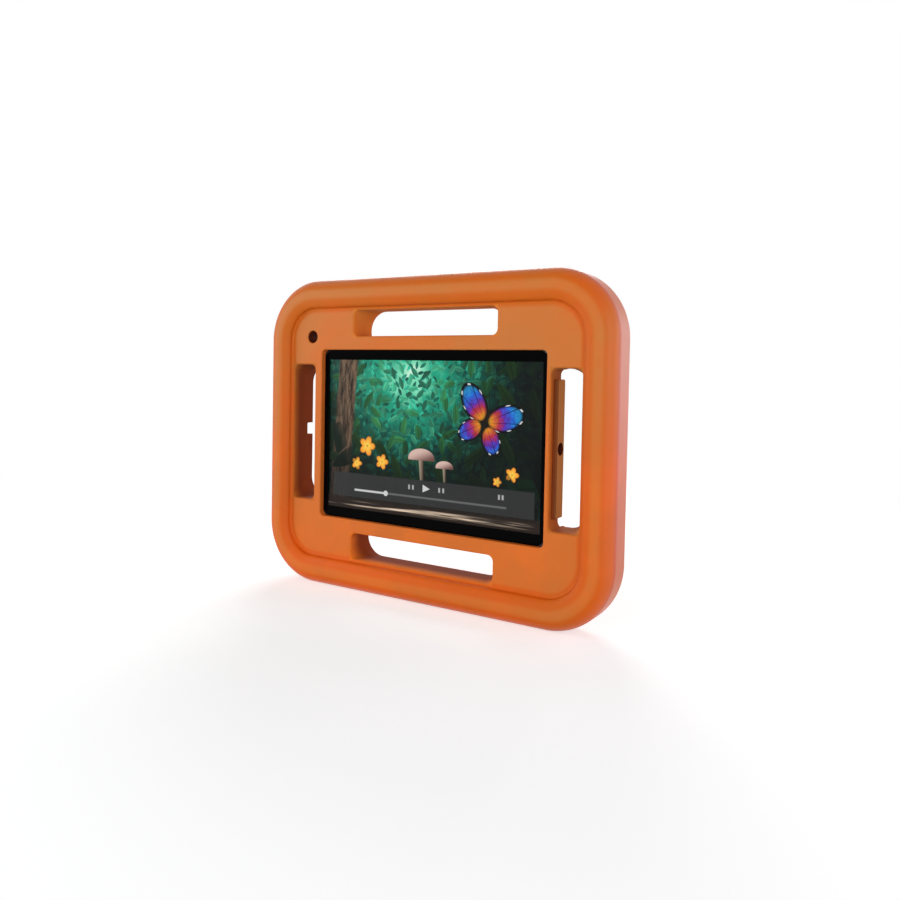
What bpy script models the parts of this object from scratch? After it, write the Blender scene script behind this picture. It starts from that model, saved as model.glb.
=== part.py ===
# Shockproof foam case holding an 8 inch class tablet: a landscape frame with four hand slots.
# Metres. Every piece is drawn lying on its back, x right, y up the screen, z out of the screen,
# and one empty then stands the whole case upright on its lower side.

import math

import bpy
import bmesh
from mathutils import Vector

# The tablet the case is made around
TABLET_LENGTH = 0.198
TABLET_HEIGHT = 0.1345
TABLET_THICKNESS = 0.0075
TABLET_CORNER = 0.010
TABLET_OFFSET = 0.0018          # the tablet sits this far right of the case's middle
FIT_GAP = 0.0003                # clearance between any two pieces

# Foam round the tablet
LIP_COVER = 0.0016              # the front lip reaches this far over the tablet's edge
LIP_THICKNESS = 0.0042
LIP_ROUND = 0.001
WINDOW_CORNER = 0.0035
SIDE_WALL = 0.0037              # mean of the walls left and right of the tablet
TOP_WALL = 0.00875              # walls above and below the tablet
BACK_PANEL = 0.0045
BACK_RECESS = 0.0062            # the back panel lies this far in from the back
RECESS_MARGIN = 0.001
RECESS_CORNER = 0.020
RECESS_ROUND = 0.0025

# Bolster on the right wall of the tablet block, inside the hand slot
BOLSTER_LENGTH = 0.093
BOLSTER_RISE = 0.003
BOLSTER_SETBACK = 0.0052        # from the flat face back to the bolster
BOLSTER_ROUND = 0.0012

# Hand slots
SIDE_SLOT_WIDTH = 0.0217
SIDE_SLOT_LENGTH = 0.1075
LONG_SLOT_WIDTH = 0.0199
LONG_SLOT_LENGTH = 0.125
LONG_SLOT_OFFSET = -0.0012      # the upper and lower slots sit this far left of the case's middle
SLOT_CORNER = 0.0045
SLOT_BACK_CORNER = 0.015        # the two outer corners open out to this at the back
SLOT_FRONT_ROUND = 0.0015
SLOT_BACK_ROUND = 0.0012
SLOT_RIM_GAP = 0.0005           # flat left between a slot and the rim's foot

# Rim and outer shape
RIM_WIDTH = 0.0238
RIM_RISE = 0.006                # crest above the flat face
CREST_INSET = 0.0115            # crest in from the outer side
FRONT_ROUND = 0.010
BACK_ROUND = 0.0047
FOOT_FILLET = 0.002
CORNER_RADIUS = 0.047

# Small holes in the foam
STRAP_HOLE_DIAMETER = 0.0095
STRAP_HOLE_FROM_SIDE = 0.043
STRAP_HOLE_FROM_TOP = 0.0444
STRAP_HOLE_ROUND = 0.0012
PORT_HOLE_DIAMETER = 0.0084
PORT_HOLE_BACKSET = 0.0013      # the hole's middle behind the port's middle
CHANNEL_HEIGHT = 0.0095
CHANNEL_DEPTH = 0.007
CHANNEL_ROUND = 0.0012
CHANNEL_LIFT = 0.001            # the cable channel's middle above the case's middle

# Pieces of the tablet
HOUSING_WALL = 0.0013
HOUSING_FLOOR = 0.001
HOUSING_BACK_ROUND = 0.001
GLASS_THICKNESS = 0.0007
PANEL_THICKNESS = 0.002
PANEL_SIDE_MARGIN = 0.004
PANEL_TOP_MARGIN = 0.0078
BATTERY_LENGTH = 0.112
BATTERY_HEIGHT = 0.098
BATTERY_ROUND = 0.0008
BOARD_LENGTH = 0.040
BOARD_HEIGHT = 0.104
BOARD_THICKNESS = 0.001
SHIELD_INSET = 0.004
SHIELD_GAP = 0.006
PORT_WIDTH = 0.0092
PORT_HEIGHT = 0.0028
PORT_CORNER = 0.0013
PORT_DEPTH = 0.0072
PORT_SHELL = 0.0003
PORT_FLOOR = 0.001
PORT_TONGUE_WIDTH = 0.0064
PORT_TONGUE_THICKNESS = 0.0007
PORT_TONGUE_SETBACK = 0.0008

# Fineness of the round stretches
OUTER_STEPS = 12
INNER_STEPS = 6
ROLL_STEPS = 7
EDGE_STEPS = 4
HOLE_SEGMENTS = 32
REACH = 0.004                   # how far a cutter runs past the surface it cuts
FLARE_END = math.radians(72)    # a rounded edge stops just short of the surface it meets
SINK = 0.001                    # how far an added form is sunk into the foam
WELD = 0.000001                 # points closer than this are one point
SHARP_ANGLE = math.radians(30)  # smooth shading stops at edges sharper than this

# Heights above the back of the drawn case, from the back forwards
CASE_DEPTH = (BACK_RECESS + BACK_PANEL + FIT_GAP + TABLET_THICKNESS + FIT_GAP
              + LIP_THICKNESS + RIM_RISE)
BACK_Z = -CASE_DEPTH / 2
BLOCK_BACK_Z = BACK_Z + BACK_RECESS
POCKET_FLOOR_Z = BLOCK_BACK_Z + BACK_PANEL
TABLET_BACK_Z = POCKET_FLOOR_Z + FIT_GAP
TABLET_FRONT_Z = TABLET_BACK_Z + TABLET_THICKNESS
POCKET_TOP_Z = TABLET_FRONT_Z + FIT_GAP
FACE_Z = POCKET_TOP_Z + LIP_THICKNESS
FRONT_Z = FACE_Z + RIM_RISE
HOUSING_FLOOR_Z = TABLET_BACK_Z + HOUSING_FLOOR
GLASS_BACK_Z = TABLET_FRONT_Z - GLASS_THICKNESS
PANEL_FRONT_Z = GLASS_BACK_Z - FIT_GAP
PANEL_BACK_Z = PANEL_FRONT_Z - PANEL_THICKNESS
CELL_BACK_Z = HOUSING_FLOOR_Z + FIT_GAP
CELL_FRONT_Z = PANEL_BACK_Z - FIT_GAP
PORT_Z = (CELL_BACK_Z + CELL_FRONT_Z) / 2
PORT_HOLE_Z = PORT_Z - PORT_HOLE_BACKSET

# Outlines seen from the front
SLOT_INNER_X = TABLET_LENGTH / 2 + SIDE_WALL
SLOT_OUTER_X = SLOT_INNER_X + SIDE_SLOT_WIDTH
SLOT_INNER_Y = TABLET_HEIGHT / 2 + TOP_WALL
SLOT_OUTER_Y = SLOT_INNER_Y + LONG_SLOT_WIDTH
HALF_WIDTH = SLOT_OUTER_X + SLOT_RIM_GAP + RIM_WIDTH
HALF_HEIGHT = SLOT_OUTER_Y + SLOT_RIM_GAP + RIM_WIDTH
TABLET_RIGHT_X = TABLET_OFFSET + TABLET_LENGTH / 2
TABLET_LEFT_X = TABLET_OFFSET - TABLET_LENGTH / 2


def clear_scene():
    for thing in list(bpy.data.objects):
        bpy.data.objects.remove(thing, do_unlink=True)


def make_collection(name):
    collection = bpy.data.collections.new(name)
    bpy.context.scene.collection.children.link(collection)
    return collection


def make_material(name, colour, roughness, metallic=0.0):
    material = bpy.data.materials.new(name)
    material.use_nodes = True
    shader = material.node_tree.nodes["Principled BSDF"]
    shader.inputs["Base Color"].default_value = (*colour, 1.0)
    shader.inputs["Roughness"].default_value = roughness
    shader.inputs["Metallic"].default_value = metallic
    material.diffuse_color = (*colour, 1.0)
    return material


# Points of a rectangle with its own radius at each corner, anticlockwise from the lower left
def rounded_rectangle(left, right, low, high, radii, steps, z):
    corners = (
        (left, low, 1, 1, math.pi),
        (right, low, -1, 1, 1.5 * math.pi),
        (right, high, -1, -1, 0.0),
        (left, high, 1, -1, 0.5 * math.pi),
    )
    points = []
    for (x, y, inward_x, inward_y, start), radius in zip(corners, radii):
        centre = Vector((x + inward_x * radius, y + inward_y * radius, z))
        for step in range(steps + 1):
            angle = start + 0.5 * math.pi * step / steps
            points.append(centre + radius * Vector((math.cos(angle), math.sin(angle), 0.0)))
    return points


# A rectangle grown outwards by the same amount all round, its corners with it
def grown_rectangle(half_x, half_y, radius, growth, steps, z, centre_x=0.0):
    return rounded_rectangle(
        centre_x - half_x - growth, centre_x + half_x + growth,
        -half_y - growth, half_y + growth, [radius + growth] * 4, steps, z)


# Closed skin over outlines that have the same number of points, capped at both ends
def loft(name, sections, collection):
    mesh = bpy.data.meshes.new(name)
    work = bmesh.new()
    rings = [[work.verts.new(point) for point in section] for section in sections]
    for lower, upper in zip(rings, rings[1:]):
        for i in range(len(lower)):
            j = (i + 1) % len(lower)
            work.faces.new((lower[i], lower[j], upper[j], upper[i]))
    work.faces.new(list(reversed(rings[0])))
    work.faces.new(rings[-1])
    bmesh.ops.remove_doubles(work, verts=work.verts, dist=WELD)
    work.to_mesh(mesh)
    work.free()
    made = bpy.data.objects.new(name, mesh)
    collection.objects.link(made)
    return made


# A flat outline given thickness, as a mesh
def plate(name, outline, low_z, high_z, collection):
    curve = bpy.data.curves.new(name + "_outline", "CURVE")
    curve.dimensions = "2D"
    curve.fill_mode = "BOTH"
    curve.extrude = (high_z - low_z) / 2
    spline = curve.splines.new("POLY")
    spline.points.add(len(outline) - 1)
    for point, place in zip(spline.points, outline):
        point.co = (place.x, place.y, 0.0, 1.0)
    spline.use_cyclic_u = True
    drawn = bpy.data.objects.new(name + "_outline", curve)
    drawn.location.z = (low_z + high_z) / 2
    bpy.context.scene.collection.objects.link(drawn)
    bpy.context.view_layer.update()
    evaluated = drawn.evaluated_get(bpy.context.evaluated_depsgraph_get())
    mesh = bpy.data.meshes.new_from_object(evaluated)
    work = bmesh.new()
    work.from_mesh(mesh)
    bmesh.ops.remove_doubles(work, verts=work.verts, dist=WELD)
    bmesh.ops.recalc_face_normals(work, faces=work.faces)
    work.to_mesh(mesh)
    work.free()
    made = bpy.data.objects.new(name, mesh)
    made.matrix_world = drawn.matrix_world.copy()
    collection.objects.link(made)
    bpy.data.objects.remove(drawn)
    return made


# A box between two corners, its edges rounded where a width is given
def block(name, low, high, collection, rounding=0.0):
    size = Vector(high) - Vector(low)
    mesh = bpy.data.meshes.new(name)
    work = bmesh.new()
    bmesh.ops.create_cube(work, size=1.0)
    bmesh.ops.scale(work, vec=size, verts=work.verts)
    work.to_mesh(mesh)
    work.free()
    made = bpy.data.objects.new(name, mesh)
    made.location = (Vector(high) + Vector(low)) / 2
    collection.objects.link(made)
    if rounding:
        bevel = made.modifiers.new("rounded_edges", "BEVEL")
        bevel.width = rounding
        bevel.segments = EDGE_STEPS
    return made


# A turned form: a profile of radius and height pairs, top to bottom, spun about z
def turned(name, profile, collection):
    mesh = bpy.data.meshes.new(name)
    points = [(radius, 0.0, height) for radius, height in profile]
    mesh.from_pydata(points, [(i, i + 1) for i in range(len(points) - 1)], [])
    made = bpy.data.objects.new(name, mesh)
    collection.objects.link(made)
    spin = made.modifiers.new("spin", "SCREW")
    spin.axis = "Z"
    spin.steps = HOLE_SEGMENTS
    spin.render_steps = HOLE_SEGMENTS
    spin.use_merge_vertices = True
    spin.merge_threshold = WELD
    return made


def combine(target, other, operation):
    modifier = target.modifiers.new(other.name, "BOOLEAN")
    modifier.operation = operation
    modifier.solver = "EXACT"
    modifier.object = other
    other.hide_render = True
    other.display_type = "WIRE"


def cut(target, cutter):
    combine(target, cutter, "DIFFERENCE")


def fuse(target, added):
    combine(target, added, "UNION")


# Growth and depth pairs of an edge rounded to a radius, from the wall out to the surface
def rounded_edge(radius):
    return [
        (radius * (1 - math.cos(turn)), radius * (1 - math.sin(turn)))
        for turn in (FLARE_END * step / EDGE_STEPS for step in range(EDGE_STEPS + 1))
    ]


# The case's outer skin, as offset and height pairs from the back, over the crest, to the face
def rim_profile():
    quarter = [0.5 * math.pi * step / ROLL_STEPS for step in range(ROLL_STEPS + 1)]
    profile = []
    inner_run = RIM_WIDTH - FOOT_FILLET - CREST_INSET
    inner_drop = RIM_RISE - FOOT_FILLET
    for turn in quarter:
        inset = BACK_ROUND * (1 - math.sin(turn))
        profile.append((inset, BACK_Z + BACK_ROUND * (1 - math.cos(turn))))
    for turn in quarter:
        inset = CREST_INSET * (1 - math.cos(turn))
        profile.append((inset, FRONT_Z - FRONT_ROUND * (1 - math.sin(turn))))
    for turn in quarter[1:]:
        inset = CREST_INSET + inner_run * math.sin(turn)
        profile.append((inset, FRONT_Z - inner_drop * (1 - math.cos(turn))))
    for turn in quarter[1:]:
        inset = RIM_WIDTH - FOOT_FILLET * math.cos(turn)
        profile.append((inset, FACE_Z + FOOT_FILLET * (1 - math.sin(turn))))
    return profile


def make_case_blank(parts):
    sections = [
        grown_rectangle(HALF_WIDTH, HALF_HEIGHT, CORNER_RADIUS, -inset, OUTER_STEPS, z)
        for inset, z in rim_profile()
    ]
    return loft("foam_case", sections, parts)


# A hand slot's cutter. The slot is drawn as the upper one, its outer side at high y, then turned.
def make_slot_cutter(name, length, inner, outer, cutters):
    half = length / 2
    back_corner = min(SLOT_BACK_CORNER, outer - inner - SLOT_CORNER - WELD)

    def section(z, all_round, inner_growth, outer_corner):
        inner_radius = SLOT_CORNER + all_round
        outer_radius = outer_corner + all_round
        return rounded_rectangle(
            -half - all_round, half + all_round, inner - max(all_round, inner_growth),
            outer + all_round, (inner_radius, inner_radius, outer_radius, outer_radius), INNER_STEPS, z)

    back_edge = rounded_edge(SLOT_BACK_ROUND)
    block_edge = rounded_edge(SLOT_FRONT_ROUND)
    front_edge = rounded_edge(SLOT_FRONT_ROUND)
    block_growth = block_edge[-1][0]
    sections = [section(BACK_Z - REACH, back_edge[-1][0], block_growth, back_corner)]
    for growth, depth in reversed(back_edge):
        sections.append(section(BACK_Z + depth, growth, block_growth, back_corner))
    for growth, depth in reversed(block_edge):
        sections.append(section(BLOCK_BACK_Z + depth, 0.0, growth, back_corner))
    for growth, depth in front_edge:
        sections.append(section(FACE_Z - depth, growth, growth, SLOT_CORNER))
    sections.append(section(FRONT_Z + REACH, front_edge[-1][0], 0.0, SLOT_CORNER))
    return loft(name, sections, cutters)


def cut_hand_slots(case, cutters):
    places = (
        ("top_slot", LONG_SLOT_LENGTH, SLOT_INNER_Y, SLOT_OUTER_Y, LONG_SLOT_OFFSET, 0.0),
        ("left_slot", SIDE_SLOT_LENGTH, SLOT_INNER_X, SLOT_OUTER_X, 0.0, 0.5 * math.pi),
        ("bottom_slot", LONG_SLOT_LENGTH, SLOT_INNER_Y, SLOT_OUTER_Y, LONG_SLOT_OFFSET, math.pi),
        ("right_slot", SIDE_SLOT_LENGTH, SLOT_INNER_X, SLOT_OUTER_X, 0.0, -0.5 * math.pi),
    )
    for name, length, inner, outer, offset, turn in places:
        cutter = make_slot_cutter(name, length, inner, outer, cutters)
        cutter.location.x = offset
        cutter.rotation_euler.z = turn
        cut(case, cutter)


# The shallow recess behind the tablet, its mouth rounded over at the back
def cut_back_recess(case, cutters):
    half_x = SLOT_INNER_X + RECESS_MARGIN
    half_y = SLOT_INNER_Y + RECESS_MARGIN
    mouth = rounded_edge(RECESS_ROUND)
    steps = [(mouth[-1][0], BACK_Z - REACH)]
    steps += [(growth, BACK_Z + depth) for growth, depth in reversed(mouth)]
    steps.append((0.0, BLOCK_BACK_Z))
    sections = [
        grown_rectangle(half_x, half_y, RECESS_CORNER, growth, INNER_STEPS, z) for growth, z in steps
    ]
    cut(case, loft("back_recess", sections, cutters))


def cut_pocket_and_window(case, cutters):
    pocket = grown_rectangle(
        TABLET_LENGTH / 2, TABLET_HEIGHT / 2, TABLET_CORNER, FIT_GAP, INNER_STEPS, 0.0, TABLET_OFFSET)
    cut(case, plate("pocket", pocket, POCKET_FLOOR_Z, POCKET_TOP_Z, cutters))
    edge = rounded_edge(LIP_ROUND)
    steps = [(0.0, TABLET_FRONT_Z - REACH / 2)]
    steps += [(growth, FACE_Z - depth) for growth, depth in edge]
    steps.append((edge[-1][0], FRONT_Z + REACH))
    sections = [
        grown_rectangle(
            TABLET_LENGTH / 2 - LIP_COVER, TABLET_HEIGHT / 2 - LIP_COVER, WINDOW_CORNER,
            growth, INNER_STEPS, z, TABLET_OFFSET)
        for growth, z in steps
    ]
    cut(case, loft("window", sections, cutters))


def add_bolster(case, cutters):
    bolster = block(
        "bolster",
        (SLOT_INNER_X - SINK, -BOLSTER_LENGTH / 2, BLOCK_BACK_Z),
        (SLOT_INNER_X + BOLSTER_RISE, BOLSTER_LENGTH / 2, FACE_Z - BOLSTER_SETBACK),
        cutters, BOLSTER_ROUND)
    fuse(case, bolster)


def cut_strap_hole(case, cutters):
    radius = STRAP_HOLE_DIAMETER / 2
    edge = rounded_edge(STRAP_HOLE_ROUND)
    wide = radius + edge[-1][0]
    profile = [(0.0, FRONT_Z + REACH), (wide, FRONT_Z + REACH)]
    profile += [(radius + growth, FACE_Z - depth) for growth, depth in reversed(edge)]
    profile += [(radius + growth, BACK_Z + depth) for growth, depth in edge]
    profile += [(wide, BACK_Z - REACH), (0.0, BACK_Z - REACH)]
    cutter = turned("strap_hole", profile, cutters)
    cutter.location = (STRAP_HOLE_FROM_SIDE - HALF_WIDTH, HALF_HEIGHT - STRAP_HOLE_FROM_TOP, 0.0)
    cut(case, cutter)


# Round holes through the end walls of the pocket, one for the port at each end
def cut_port_holes(case, cutters):
    pocket_ends = (TABLET_LEFT_X - FIT_GAP, TABLET_RIGHT_X + FIT_GAP)
    for name, side, pocket_end in zip(("left_port_hole", "right_port_hole"), (-1, 1), pocket_ends):
        start = pocket_end - side * FIT_GAP
        end = side * (SLOT_INNER_X + BOLSTER_RISE + REACH)
        profile = [(0.0, abs(end - start)), (PORT_HOLE_DIAMETER / 2, abs(end - start))]
        profile += [(PORT_HOLE_DIAMETER / 2, 0.0), (0.0, 0.0)]
        cutter = turned(name, profile, cutters)
        cutter.location = (start, 0.0, PORT_HOLE_Z)
        cutter.rotation_euler.y = side * 0.5 * math.pi
        cut(case, cutter)


# The channel that lets a cable cross the back of the left bar
def cut_cable_channel(case, cutters):
    channel = block(
        "cable_channel",
        (-HALF_WIDTH - REACH, CHANNEL_LIFT - CHANNEL_HEIGHT / 2, BACK_Z - REACH),
        (-SLOT_OUTER_X + REACH, CHANNEL_LIFT + CHANNEL_HEIGHT / 2, BACK_Z + CHANNEL_DEPTH),
        cutters, CHANNEL_ROUND)
    cut(case, channel)


def make_foam_case(parts, cutters):
    case = make_case_blank(parts)
    cut_hand_slots(case, cutters)
    cut_back_recess(case, cutters)
    add_bolster(case, cutters)
    cut_pocket_and_window(case, cutters)
    cut_strap_hole(case, cutters)
    cut_port_holes(case, cutters)
    cut_cable_channel(case, cutters)
    case.data.materials.append(make_material("orange_foam", (0.62, 0.21, 0.06), 0.75))
    return case


# The tablet's rear shell: a tray open to the front, with the port's opening in its right wall
def make_housing(parts, cutters):
    edge = [
        (-HOUSING_BACK_ROUND * (1 - math.sin(turn)), HOUSING_BACK_ROUND * (1 - math.cos(turn)))
        for turn in (0.5 * math.pi * step / EDGE_STEPS for step in range(EDGE_STEPS + 1))
    ]
    steps = [(growth, TABLET_BACK_Z + rise) for growth, rise in edge] + [(0.0, TABLET_FRONT_Z)]
    sections = [
        grown_rectangle(
            TABLET_LENGTH / 2, TABLET_HEIGHT / 2, TABLET_CORNER, growth, INNER_STEPS, z, TABLET_OFFSET)
        for growth, z in steps
    ]
    housing = loft("tablet_housing", sections, parts)
    hollow = grown_rectangle(
        TABLET_LENGTH / 2, TABLET_HEIGHT / 2, TABLET_CORNER, -HOUSING_WALL, INNER_STEPS, 0.0, TABLET_OFFSET)
    cut(housing, plate("housing_hollow", hollow, HOUSING_FLOOR_Z, TABLET_FRONT_Z + REACH, cutters))
    opening = port_outline(FIT_GAP)
    cut(housing, turned_to_right(plate("port_opening", opening, -REACH, REACH, cutters), TABLET_RIGHT_X))
    housing.data.materials.append(make_material("grey_metal", (0.42, 0.43, 0.45), 0.35, 0.9))


# The port's outline, a flat oval, grown or shrunk by the given amount
def port_outline(growth):
    return grown_rectangle(PORT_HEIGHT / 2, PORT_WIDTH / 2, PORT_CORNER, growth, EDGE_STEPS, 0.0)


# Turns a form drawn about z so that its z runs out of the tablet's right end
def turned_to_right(made, x):
    made.rotation_euler.y = 0.5 * math.pi
    made.location = Vector((x, 0.0, PORT_Z)) + Vector((made.location.z, 0.0, 0.0))
    return made


def make_charging_port(parts, cutters):
    port = plate("charging_port", port_outline(0.0), -PORT_DEPTH, 0.0, parts)
    turned_to_right(port, TABLET_RIGHT_X)
    socket = plate("port_socket", port_outline(-PORT_SHELL), PORT_FLOOR - PORT_DEPTH, REACH, cutters)
    cut(port, turned_to_right(socket, TABLET_RIGHT_X))
    half_width = PORT_TONGUE_WIDTH / 2
    half_thickness = PORT_TONGUE_THICKNESS / 2
    tongue = block(
        "port_tongue",
        (TABLET_RIGHT_X - PORT_DEPTH + PORT_FLOOR / 2, -half_width, PORT_Z - half_thickness),
        (TABLET_RIGHT_X - PORT_TONGUE_SETBACK, half_width, PORT_Z + half_thickness),
        cutters)
    fuse(port, tongue)
    port.data.materials.append(make_material("port_steel", (0.5, 0.5, 0.5), 0.3, 1.0))


def make_screen(parts):
    glass = grown_rectangle(
        TABLET_LENGTH / 2, TABLET_HEIGHT / 2, TABLET_CORNER, -HOUSING_WALL - FIT_GAP,
        INNER_STEPS, 0.0, TABLET_OFFSET)
    cover = plate("cover_glass", glass, GLASS_BACK_Z, TABLET_FRONT_Z, parts)
    cover.data.materials.append(make_material("black_glass", (0.01, 0.01, 0.012), 0.08))
    half_x = TABLET_LENGTH / 2 - PANEL_SIDE_MARGIN
    half_y = TABLET_HEIGHT / 2 - PANEL_TOP_MARGIN
    panel = block(
        "display_panel",
        (TABLET_OFFSET - half_x, -half_y, PANEL_BACK_Z),
        (TABLET_OFFSET + half_x, half_y, PANEL_FRONT_Z), parts)
    panel.data.materials.append(make_material("dark_display", (0.02, 0.05, 0.03), 0.2))


# Battery at the left, circuit board at the right beside the charging port
def make_inner_pieces(parts, cutters):
    board_right = TABLET_RIGHT_X - PORT_DEPTH - FIT_GAP
    board_left = board_right - BOARD_LENGTH
    board = block(
        "main_board",
        (board_left, -BOARD_HEIGHT / 2, CELL_BACK_Z),
        (board_right, BOARD_HEIGHT / 2, CELL_BACK_Z + BOARD_THICKNESS), parts)
    shields = (
        ("upper_shield", SHIELD_GAP / 2, BOARD_HEIGHT / 2 - SHIELD_INSET),
        ("lower_shield", SHIELD_INSET - BOARD_HEIGHT / 2, -SHIELD_GAP / 2),
    )
    for name, low, high in shields:
        shield = block(
            name,
            (board_left + SHIELD_INSET, low, CELL_BACK_Z + BOARD_THICKNESS / 2),
            (board_right - SHIELD_INSET, high, CELL_FRONT_Z), cutters)
        fuse(board, shield)
    board.data.materials.append(make_material("green_board", (0.03, 0.16, 0.07), 0.5))
    battery_right = board_left - FIT_GAP
    battery = block(
        "battery",
        (battery_right - BATTERY_LENGTH, -BATTERY_HEIGHT / 2, CELL_BACK_Z),
        (battery_right, BATTERY_HEIGHT / 2, CELL_FRONT_Z), parts, BATTERY_ROUND)
    battery.data.materials.append(make_material("battery_wrap", (0.05, 0.05, 0.055), 0.6))


# Stands everything upright: the screen faces -Y and the lower side rests at z = 0
def stand_upright():
    stand = bpy.data.objects.new("case_frame", None)
    bpy.context.scene.collection.objects.link(stand)
    stand.rotation_euler.x = 0.5 * math.pi
    stand.location.z = HALF_HEIGHT
    for made in bpy.data.objects:
        if made is not stand:
            made.parent = stand
    return stand


def main():
    clear_scene()
    parts = make_collection("tablet_case")
    cutters = make_collection("cutters")
    make_foam_case(parts, cutters)
    make_housing(parts, cutters)
    make_charging_port(parts, cutters)
    make_screen(parts)
    make_inner_pieces(parts, cutters)
    stand_upright()
    bpy.context.view_layer.update()
    for made in parts.objects:
        made.data.shade_smooth()
        made.data.set_sharp_from_angle(angle=SHARP_ANGLE)


main()
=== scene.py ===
import math

import bpy
import bmesh
from mathutils import Matrix, Vector


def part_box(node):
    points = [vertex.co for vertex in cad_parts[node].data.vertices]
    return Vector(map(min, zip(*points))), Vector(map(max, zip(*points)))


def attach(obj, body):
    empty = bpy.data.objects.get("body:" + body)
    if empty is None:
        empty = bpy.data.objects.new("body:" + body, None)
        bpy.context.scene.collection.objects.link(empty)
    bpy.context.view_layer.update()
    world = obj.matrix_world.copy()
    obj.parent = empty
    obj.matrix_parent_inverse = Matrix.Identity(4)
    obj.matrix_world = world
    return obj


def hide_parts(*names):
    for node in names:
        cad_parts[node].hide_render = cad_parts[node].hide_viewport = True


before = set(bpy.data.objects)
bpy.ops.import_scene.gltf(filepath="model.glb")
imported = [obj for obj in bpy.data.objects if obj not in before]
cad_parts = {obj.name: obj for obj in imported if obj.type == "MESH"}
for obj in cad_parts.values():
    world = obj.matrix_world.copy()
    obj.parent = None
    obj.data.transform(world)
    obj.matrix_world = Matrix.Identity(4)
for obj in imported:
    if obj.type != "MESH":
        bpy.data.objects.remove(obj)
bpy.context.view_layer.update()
caseLow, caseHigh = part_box("foam_case")
tabletLow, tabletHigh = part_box("tablet_housing")
glassLow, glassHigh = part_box("cover_glass")
portLow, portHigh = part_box("charging_port")
halfWidth = caseHigh.x
halfHeight = (caseHigh.z - caseLow.z) / 2
screenMiddle = Vector(((glassLow.x + glassHigh.x) / 2, glassLow.y, halfHeight))
weldGap = 0.000001        # points closer than this are one point
black = (0.0, 0.0, 0.0)
white = (1.0, 1.0, 1.0)
print("frame loaded, nodes:", len(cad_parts))


# Shader maths: a socket in a wrapper, so that sums on it read as sums

class Wire:
    def __init__(self, tree, socket):
        self.tree = tree
        self.socket = socket

    def maths(self, operation, *values):
        node = self.tree.nodes.new("ShaderNodeMath")
        node.operation = operation
        for slot, value in zip(node.inputs, values):
            plug(self.tree, slot, value)
        return Wire(self.tree, node.outputs[0])

    def __add__(self, other):
        return self.maths("ADD", self, other)

    def __radd__(self, other):
        return self.maths("ADD", other, self)

    def __sub__(self, other):
        return self.maths("SUBTRACT", self, other)

    def __rsub__(self, other):
        return self.maths("SUBTRACT", other, self)

    def __mul__(self, other):
        return self.maths("MULTIPLY", self, other)

    def __rmul__(self, other):
        return self.maths("MULTIPLY", other, self)

    def __truediv__(self, other):
        return self.maths("DIVIDE", self, other)

    def __rtruediv__(self, other):
        return self.maths("DIVIDE", other, self)

    def __abs__(self):
        return self.maths("ABSOLUTE", self)

    def __lt__(self, other):
        return self.maths("LESS_THAN", self, other)

    def __gt__(self, other):
        return self.maths("GREATER_THAN", self, other)

    def sine(self):
        return self.maths("SINE", self)

    def cosine(self):
        return self.maths("COSINE", self)

    def span(self, other):        # how long the two are together, as the sides of a right angle
        return self.maths("SQRT", self * self + other * other)

    def least(self, other):
        return self.maths("MINIMUM", self, other)

    def most(self, other):
        return self.maths("MAXIMUM", self, other)

    def bearing(self, across):        # the angle at which the point (across, self) lies
        return self.maths("ARCTAN2", self, across)


def plug(tree, slot, value):
    if isinstance(value, Wire):
        tree.links.new(value.socket, slot)
    elif isinstance(value, tuple) and len(value) == 3 and slot.type == "RGBA":
        slot.default_value = (*value, 1.0)
    else:
        slot.default_value = value


# A node tree, of a material, the world or a modifier
class Web:
    def __init__(self, tree):
        self.tree = tree

    # Any node: its kind, its settings, what goes into its sockets, and which outputs are used
    def node(self, kind, settings=None, sockets=None, out=0):
        made = self.tree.nodes.new(kind)
        for name, value in (settings or {}).items():
            if name == "stops":
                self.setStops(made.color_ramp, value)
            else:
                setattr(made, name, value)
        for name, value in (sockets or {}).items():
            plug(self.tree, made.inputs[name], value)
        if isinstance(out, tuple):
            return [Wire(self.tree, made.outputs[name]) for name in out]
        return Wire(self.tree, made.outputs[out]) if made.outputs else None

    def setStops(self, ramp, stops):
        while len(ramp.elements) > 1:
            ramp.elements.remove(ramp.elements[-1])
        for count, (place, colour) in enumerate(stops):
            stop = ramp.elements[0] if count == 0 else ramp.elements.new(place)
            stop.position = place
            stop.color = (*colour, 1.0)

    def seen(self):        # 1 for the rays that show the background to an eye, a mirror or through glass
        eye, mirror, glass = self.node(
            "ShaderNodeLightPath", out=("Is Camera Ray", "Is Glossy Ray", "Is Transmission Ray"))
        return (eye + mirror + glass).least(1.0)


shaderSockets = {
    "colour": "Base Color", "roughness": "Roughness", "metallic": "Metallic", "normal": "Normal",
    "alpha": "Alpha", "glow": "Emission Color", "glowStrength": "Emission Strength",
    "coat": "Coat Weight", "coatRoughness": "Coat Roughness", "specular": "Specular IOR Level",
}


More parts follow.
